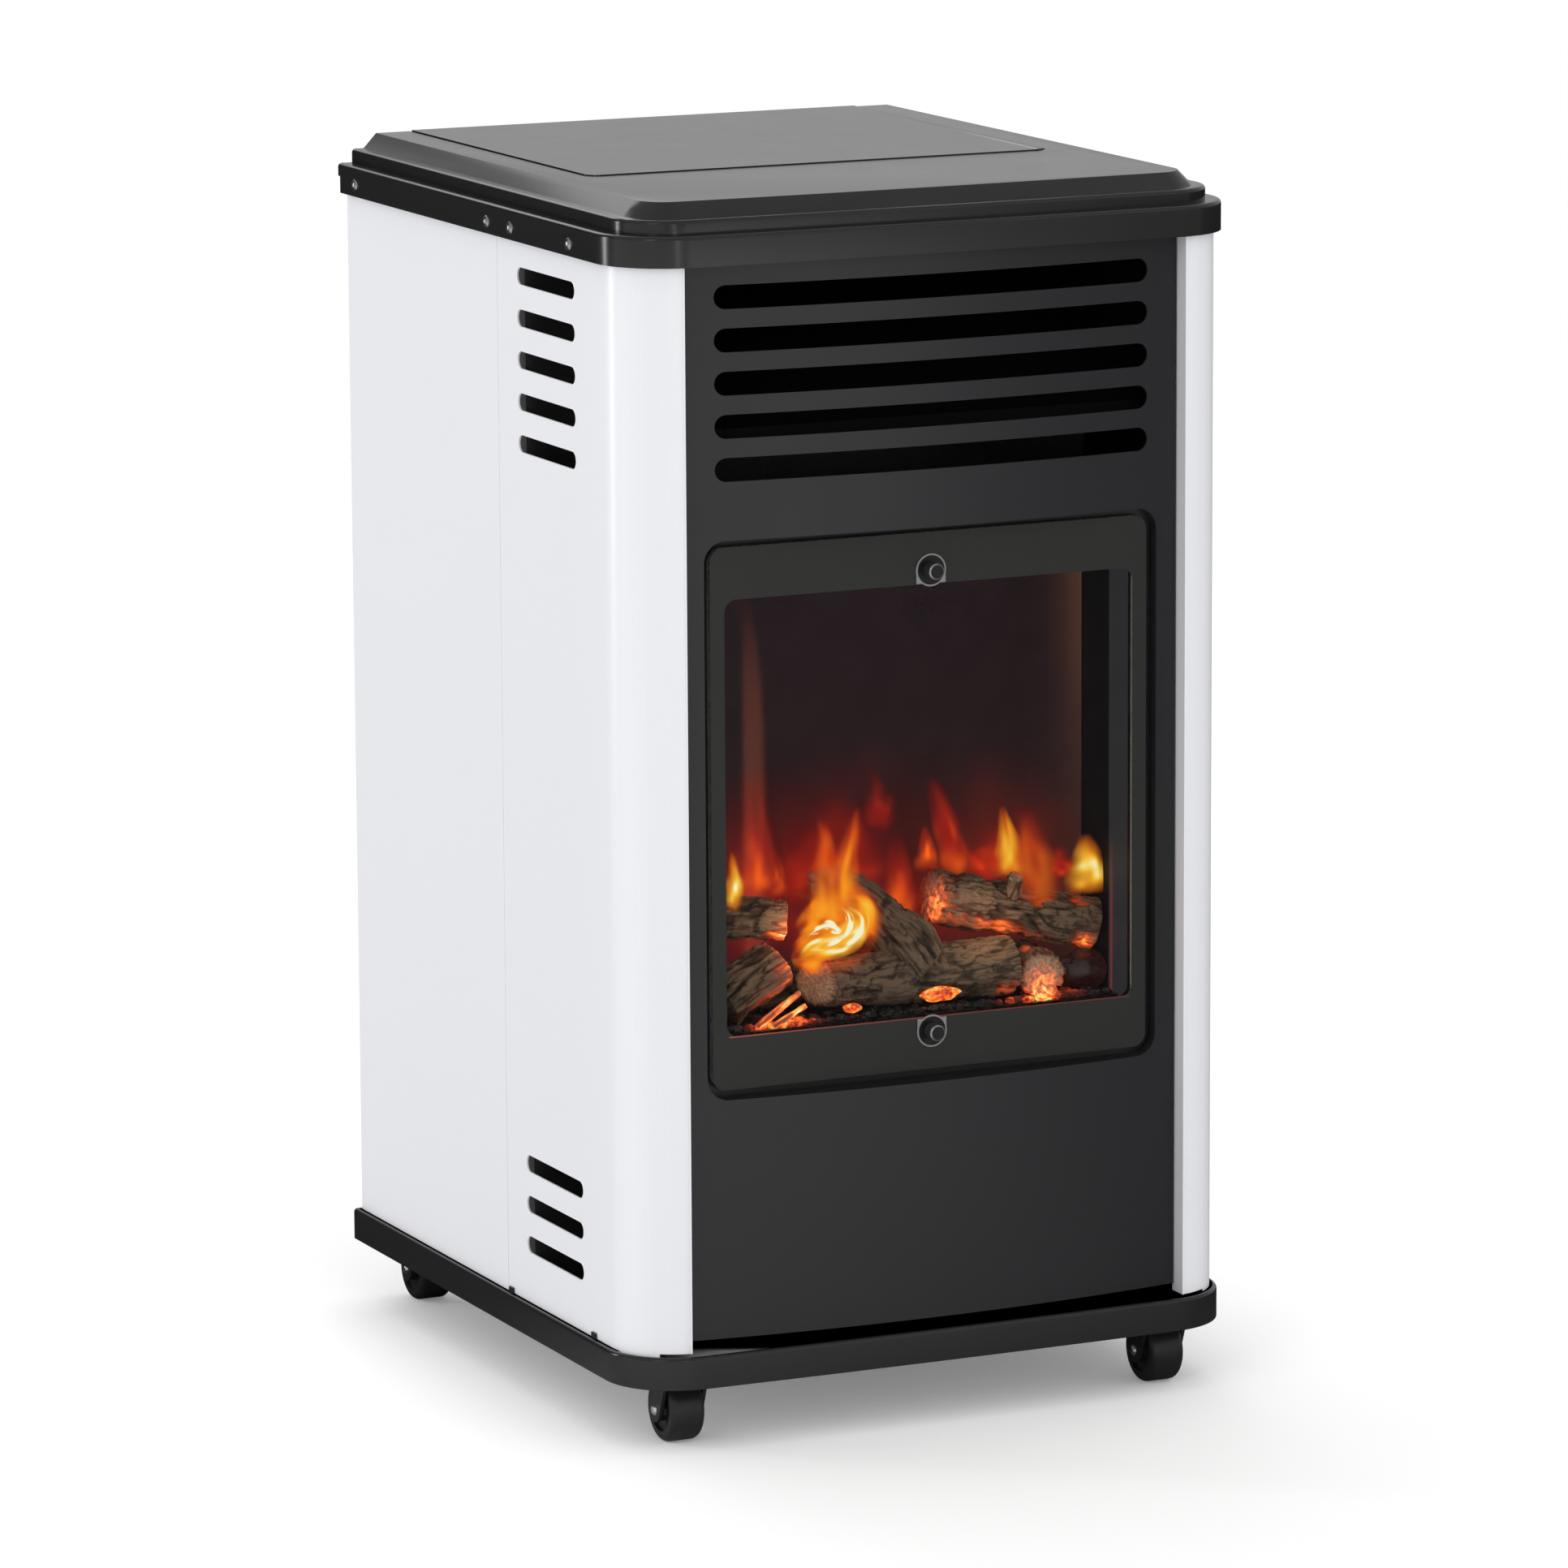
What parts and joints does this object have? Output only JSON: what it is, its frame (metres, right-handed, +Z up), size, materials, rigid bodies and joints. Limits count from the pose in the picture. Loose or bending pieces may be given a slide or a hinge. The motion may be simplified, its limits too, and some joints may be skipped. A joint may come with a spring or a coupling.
{
  "type": "portable gas cabinet heater",
  "caption": "Upright gas cabinet heater on castors: log-effect fire behind a dark-bordered window, warm-air slots, slotted white sides, lift-up control flap and a rear bottle door.",
  "frame": {"origin": "on the floor under the centre of the cabinet's outline", "axes": "+Z up, the window faces -Y, +X to the right of a viewer who faces the window"},
  "size_m": [0.4098, 0.448, 0.7507],
  "materials": {
    "white_enamel": "gloss white enamel",
    "black_panel": "satin black enamel",
    "black_cover": "satin black enamel",
    "black_clip": "matte black",
    "black_tray": "matte black enamel",
    "grey_steel": "matte black enamel",
    "zinc_steel": "zinc plated",
    "castor_steel": "satin black",
    "rivet_steel": "bright",
    "castor_wheel": "moulded black",
    "window_glass": "clear with a printed dark border",
    "fibre_rope": "woven fibre",
    "stud_washer": "bright rim",
    "stud_black": "black",
    "screw_black": "black",
    "pin_steel": "bright",
    "magnet": "matte",
    "fire_steel": "heat-proof matte black",
    "burner_steel": "dull",
    "bracket_steel": "dull",
    "pilot_steel": "dull",
    "thermocouple_tip": "heat tinted",
    "electrode_ceramic": "white",
    "brass": "machined",
    "valve_aluminium": "die cast",
    "valve_steel": "machined",
    "knob_plastic": "satin black",
    "button_plastic": "satin red",
    "igniter_plastic": "black",
    "pipe_aluminium": "drawn",
    "copper_lead": "drawn copper",
    "rubber_lead": "black",
    "ember_ceramic": "matte fibre",
    "coal_ceramic": "matte",
    "log_ceramic": "matte bark"
  },
  "bodies": {
    "cabinet": {"front_pillar_left": "white_enamel", "front_pillar_right": "white_enamel", "rear_panel_left": "white_enamel", "rear_panel_right": "white_enamel", "front_panel": "black_panel", "top_cover": "black_cover", "base_skirt": "black_cover", "base_clips": "black_clip", "control_tray": "black_tray", "door_hinge_frames": "grey_steel", "floor_pan": "zinc_steel", "castor_plates": "zinc_steel", "bottle_stop": "zinc_steel", "divider": "zinc_steel", "flue_deflector": "zinc_steel", "window_glass": "window_glass", "glass_gasket": "fibre_rope", "glass_washers": "stud_washer", "glass_studs": "stud_black", "cover_screws": "screw_black", "hinge_pins": "pin_steel", "door_magnets": "magnet", "firebox": "fire_steel", "burner": "burner_steel", "pilot_bracket": "bracket_steel", "pilot_burner": "pilot_steel", "thermocouple": "thermocouple_tip", "spark_electrode": "electrode_ceramic", "hose_nozzle": "brass", "gas_injector": "brass", "valve_body": "valve_aluminium", "igniter_bezel": "knob_plastic", "piezo_igniter": "igniter_plastic", "gas_pipe": "pipe_aluminium", "thermocouple_lead": "copper_lead", "spark_lead": "rubber_lead", "ember_bed": "ember_ceramic", "coal_pieces": "coal_ceramic", "log_forked": "log_ceramic", "logs_right": "log_ceramic", "logs_left": "log_ceramic", "log_back": "log_ceramic"},
    "control_flap": {"control_flap": "black_cover"},
    "valve_sleeve": {"valve_collar": "valve_steel"},
    "knob": {"valve_spindle": "valve_steel", "control_knob": "knob_plastic"},
    "igniter_button": {"igniter_button": "button_plastic"},
    "rear_door": {"rear_door": "grey_steel"},
    "fork_front_left": {"castor_fork_front_left": "castor_steel", "castor_axle_front_left": "rivet_steel"},
    "wheel_front_left": {"castor_wheel_front_left": "castor_wheel"},
    "fork_front_right": {"castor_fork_front_right": "castor_steel", "castor_axle_front_right": "rivet_steel"},
    "wheel_front_right": {"castor_wheel_front_right": "castor_wheel"},
    "fork_rear_left": {"castor_fork_rear_left": "castor_steel", "castor_axle_rear_left": "rivet_steel"},
    "wheel_rear_left": {"castor_wheel_rear_left": "castor_wheel"},
    "fork_rear_right": {"castor_fork_rear_right": "castor_steel", "castor_axle_rear_right": "rivet_steel"},
    "wheel_rear_right": {"castor_wheel_rear_right": "castor_wheel"}
  },
  "joints": [
    {"name": "flap_hinge", "type": "hinge", "parent": "cabinet", "child": "control_flap", "pos_m": [0, 0.219, 0.7425], "axis": [-1, 0, 0], "range_deg": [0, 100]},
    {"name": "knob_press", "type": "slide", "parent": "cabinet", "child": "valve_sleeve", "axis": [0, 0, -1], "range_m": [0, 0.004], "stiffness_N_per_m": 900, "springref_m": -0.001},
    {"name": "knob_turn", "type": "hinge", "parent": "valve_sleeve", "child": "knob", "pos_m": [0.062, 0.01, 0.722], "axis": [0, 0, 1], "range_deg": [0, 240]},
    {"name": "button_press", "type": "slide", "parent": "cabinet", "child": "igniter_button", "axis": [0, 0, -1], "range_m": [0, 0.005], "stiffness_N_per_m": 600, "springref_m": -0.001},
    {"name": "door_hinge", "type": "hinge", "parent": "cabinet", "child": "rear_door", "pos_m": [-0.1845, 0.2185, 0.385], "axis": [0, 0, 1], "range_deg": [0, 110]},
    {"name": "swivel_front_left", "type": "hinge", "parent": "cabinet", "child": "fork_front_left", "pos_m": [-0.162, -0.195, 0.048], "axis": [0, 0, 1], "continuous": true},
    {"name": "roll_front_left", "type": "hinge", "parent": "fork_front_left", "child": "wheel_front_left", "pos_m": [-0.162, -0.186, 0.02], "axis": [1, 0, 0], "continuous": true},
    {"name": "swivel_front_right", "type": "hinge", "parent": "cabinet", "child": "fork_front_right", "pos_m": [0.162, -0.195, 0.048], "axis": [0, 0, 1], "continuous": true},
    {"name": "roll_front_right", "type": "hinge", "parent": "fork_front_right", "child": "wheel_front_right", "pos_m": [0.162, -0.186, 0.02], "axis": [1, 0, 0], "continuous": true},
    {"name": "swivel_rear_left", "type": "hinge", "parent": "cabinet", "child": "fork_rear_left", "pos_m": [-0.162, 0.195, 0.048], "axis": [0, 0, 1], "continuous": true},
    {"name": "roll_rear_left", "type": "hinge", "parent": "fork_rear_left", "child": "wheel_rear_left", "pos_m": [-0.162, 0.204, 0.02], "axis": [1, 0, 0], "continuous": true},
    {"name": "swivel_rear_right", "type": "hinge", "parent": "cabinet", "child": "fork_rear_right", "pos_m": [0.162, 0.195, 0.048], "axis": [0, 0, 1], "continuous": true},
    {"name": "roll_rear_right", "type": "hinge", "parent": "fork_rear_right", "child": "wheel_rear_right", "pos_m": [0.162, 0.204, 0.02], "axis": [1, 0, 0], "continuous": true}
  ]
}
